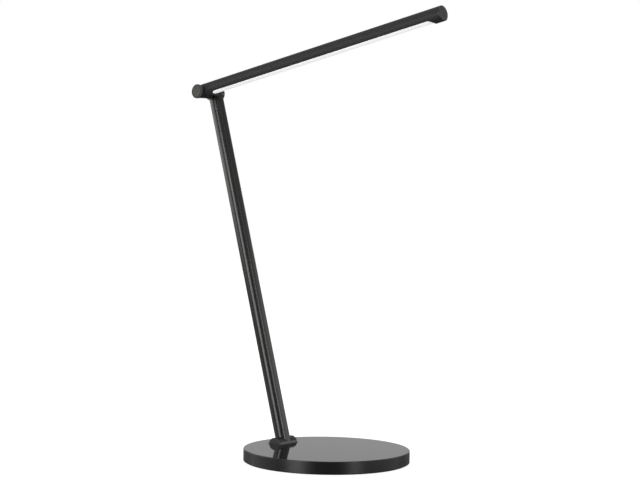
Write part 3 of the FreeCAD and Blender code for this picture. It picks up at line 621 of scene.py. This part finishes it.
def floor_pad():
    """The rubber pad, with rings moulded into its underside for grip."""
    pitch = PAD_RADIUS / (PAD_GROOVES + 1)
    outline = [(pitch / 2, 0, 0)]
    for groove in range(1, PAD_GROOVES + 1):
        middle = groove * pitch
        outline += [
            (middle - pitch / 4, 0, EDGE / 4),
            (middle - pitch / 6, PAD_GROOVE_DEPTH, EDGE / 4),
            (middle + pitch / 6, PAD_GROOVE_DEPTH, EDGE / 4),
            (middle + pitch / 4, 0, EDGE / 4),
        ]
    outline += [
        (PAD_RADIUS, 0, EDGE),
        (PAD_RADIUS, PAD_THICKNESS, EDGE / 2),
        (PAD_RADIUS - EDGE, PAD_THICKNESS, 0),
    ]
    return turned("floor_pad", outline)


for mesh, axis, body, node, slot, finish in (
    (push_button(), top_axis, "button", "switch_button", "button_grey", finishes["button_grey"]),
    (end_cap(), head_axis, "head", "head_end_cap", "satin_black", cap_black),
    (near_plug(), foot_axis, "stem", "barrel_near_plug", "satin_bronze_black", cap_black),
    (far_cap(), foot_axis, "stem", "barrel_far_cap", "satin_bronze_black", cap_black),
    (top_cap(), top_axis, "stem", "top_far_cap", "satin_bronze_black", cap_black),
    (base_shell(), base_axis, "base", "base_cover", "gloss_black_lacquer", finishes["gloss_black_lacquer"]),
    (floor_pad(), base_axis, "base", "base_pad", "rubber_pad", finishes["rubber_pad"]),
):
    place_piece(mesh, axis, body, node, finish)


# Studio: brightness of what is seen and mirrored, where 1 is white
BACKDROP = 0.6
ROOM = 0.06
CEILING = 0.42
AMBIENT = 0.35
FLOOR_GLOW = 0.92
WHITE = (1, 1, 1, 1)

# Studio sizes in metres
FLOOR_HALF = 6.0
OVERHEAD_HEIGHT = 2.2

# The directions between which the backdrop fades in behind and out above, and the room turns to ceiling
BACKDROP_SIDE = (-0.4, 0.7)
BACKDROP_TOP = (0.22, 0.3)
CEILING_START = (0.2, 0.5)


def seen_as(tree, straight, mirrored, other):
    """A brightness for rays from the camera or through glass, one for mirrored rays and one for the rest."""
    path = add(tree, "ShaderNodeLightPath").outputs
    through = add(tree, "ShaderNodeMath", {"operation": "MAXIMUM"}, {
        "Value": path["Is Camera Ray"], "Value_001": path["Is Transmission Ray"],
    }).outputs["Value"]
    level = other
    for mask, brightness in ((path["Is Glossy Ray"], mirrored), (through, straight)):
        mix = add(tree, "ShaderNodeMix", {"data_type": "FLOAT"}, {
            "Factor_Float": mask, "A_Float": level, "B_Float": brightness,
        })
        level = mix.outputs["Result"]
    return level


def studio_board():
    """Grey satin-coated board, lit to white where it is seen and darker where the lamp shades it."""
    cloud_mm = 4
    material, tree = blank_material("grey_satin_coated_board")
    place = add(tree, "ShaderNodeTexCoord").outputs["Object"]
    cloud = add(tree, "ShaderNodeTexNoise", None, {"Vector": place, "Scale": per_metre(cloud_mm)})
    colour = add(tree, "ShaderNodeMix", {"data_type": "RGBA"}, {
        "Factor_Float": cloud.outputs["Fac"], "A_Color": linear("#6c6c6c"), "B_Color": linear("#727272"),
    }).outputs[COLOUR_RESULT]
    shader = add(tree, "ShaderNodeBsdfPrincipled", None, {
        "Base Color": colour,
        "Roughness": 0.3,
        "Emission Color": WHITE,
        "Emission Strength": seen_as(tree, FLOOR_GLOW, 0.0, 0.0),
    })
    add(tree, "ShaderNodeOutputMaterial", None, {"Surface": shader.outputs["BSDF"]})
    return material


def make_floor():
    """A wide board under the lamp."""
    mesh = bpy.data.meshes.new("floor")
    corners = [(x * FLOOR_HALF, y * FLOOR_HALF, 0) for x, y in ((-1, -1), (1, -1), (1, 1), (-1, 1))]
    mesh.from_pydata(corners, [], [(0, 1, 2, 3)])
    mesh.materials.append(studio_board())
    floor = bpy.data.objects.new("floor", mesh)
    bpy.context.collection.objects.link(floor)


def make_world():
    """White where it is seen; in mirrors a pale backdrop low behind the lamp, and a dim room elsewhere."""
    world = bpy.data.worlds.new("studio")
    bpy.context.scene.world = world
    world.use_nodes = True
    tree = world.node_tree
    tree.nodes.clear()
    heading = math.radians(CAMERA_HEADING)
    direction = add(tree, "ShaderNodeTexCoord").outputs["Generated"]
    behind = add(tree, "ShaderNodeVectorMath", {"operation": "DOT_PRODUCT"}, {
        "Vector": direction, "Vector_001": (-math.sin(heading), math.cos(heading), 0),
    }).outputs["Value"]
    height = add(tree, "ShaderNodeSeparateXYZ", None, {"Vector": direction}).outputs["Z"]
    across = add(tree, "ShaderNodeMapRange", {"interpolation_type": "SMOOTHSTEP"}, {
        "Value": behind, "From Min": BACKDROP_SIDE[0], "From Max": BACKDROP_SIDE[1],
    }).outputs["Result"]
    low_down = add(tree, "ShaderNodeMapRange", {"interpolation_type": "SMOOTHSTEP"}, {
        "Value": height, "From Min": BACKDROP_TOP[0], "From Max": BACKDROP_TOP[1],
        "To Min": 1.0, "To Max": 0.0,
    }).outputs["Result"]
    screen = add(tree, "ShaderNodeMath", {"operation": "MULTIPLY"}, {"Value": across, "Value_001": low_down})
    room = add(tree, "ShaderNodeMapRange", {"interpolation_type": "SMOOTHSTEP"}, {
        "Value": height, "From Min": CEILING_START[0], "From Max": CEILING_START[1],
        "To Min": ROOM, "To Max": CEILING,
    })
    mirrored = add(tree, "ShaderNodeMix", {"data_type": "FLOAT"}, {
        "Factor_Float": screen.outputs["Value"], "A_Float": room.outputs["Result"], "B_Float": BACKDROP,
    })
    paint = add(tree, "ShaderNodeBackground", None, {
        "Color": WHITE,
        "Strength": seen_as(tree, 1.0, mirrored.outputs["Result"], AMBIENT),
    })
    add(tree, "ShaderNodeOutputWorld", None, {"Surface": paint.outputs["Background"]})


def area_light(name, place, aim, width, height, brightness):
    """A soft lamp of even brightness, which only mirrors and shading show."""
    data = bpy.data.lights.new(name, "AREA")
    data.shape = "RECTANGLE"
    data.size = width
    data.size_y = height
    data.energy = brightness * math.pi * width * height
    lamp = bpy.data.objects.new(name, data)
    lamp.location = place
    lamp.rotation_euler = (aim - place).to_track_quat("-Z", "Y").to_euler()
    lamp.visible_camera = False
    bpy.context.collection.objects.link(lamp)


def softbox(name, side, distance, low, high, width, brightness):
    """An upright panel between two heights, turned to the camera's right by side, facing the lamp."""
    azimuth = math.radians(CAMERA_HEADING + side)
    aim = Vector((0, 0, (low + high) / 2))
    place = aim + Vector((math.sin(azimuth), -math.cos(azimuth), 0)) * distance
    area_light(name, place, aim, width, high - low, brightness)


def overhead(size, brightness):
    """A square panel above the lamp, facing down."""
    place = Vector((0, 0, OVERHEAD_HEIGHT))
    area_light("overhead", place, Vector(), size, size, brightness)


def make_camera():
    """The photograph's camera: upright at its heading, then tilted and rolled a little."""
    data = bpy.data.cameras.new("camera")
    data.lens = CAMERA_LENS_MM
    data.sensor_width = SENSOR_WIDTH_MM
    camera = bpy.data.objects.new("camera", data)
    upright = Euler((math.radians(90 + CAMERA_TILT), 0, math.radians(CAMERA_HEADING))).to_matrix()
    rolled = upright @ Matrix.Rotation(math.radians(CAMERA_ROLL), 3, "Z")
    camera.matrix_world = Matrix.Translation(CAMERA_PLACE) @ rolled.to_4x4()
    bpy.context.collection.objects.link(camera)
    bpy.context.scene.camera = camera


make_floor()
make_world()
make_camera()
softbox("left_wall", side=-98, distance=1.6, low=0.18, high=0.75, width=1.7, brightness=2.2)
softbox("left_strip", side=-40, distance=1.0, low=0.02, high=0.72, width=0.42, brightness=6.0)
softbox("right_strip", side=38, distance=1.6, low=0.02, high=0.95, width=0.38, brightness=6.0)
softbox("right_wall", side=86, distance=1.6, low=0.05, high=0.9, width=1.9, brightness=1.4)
overhead(size=1.6, brightness=0.8)
bpy.context.scene.view_settings.view_transform = "Standard"
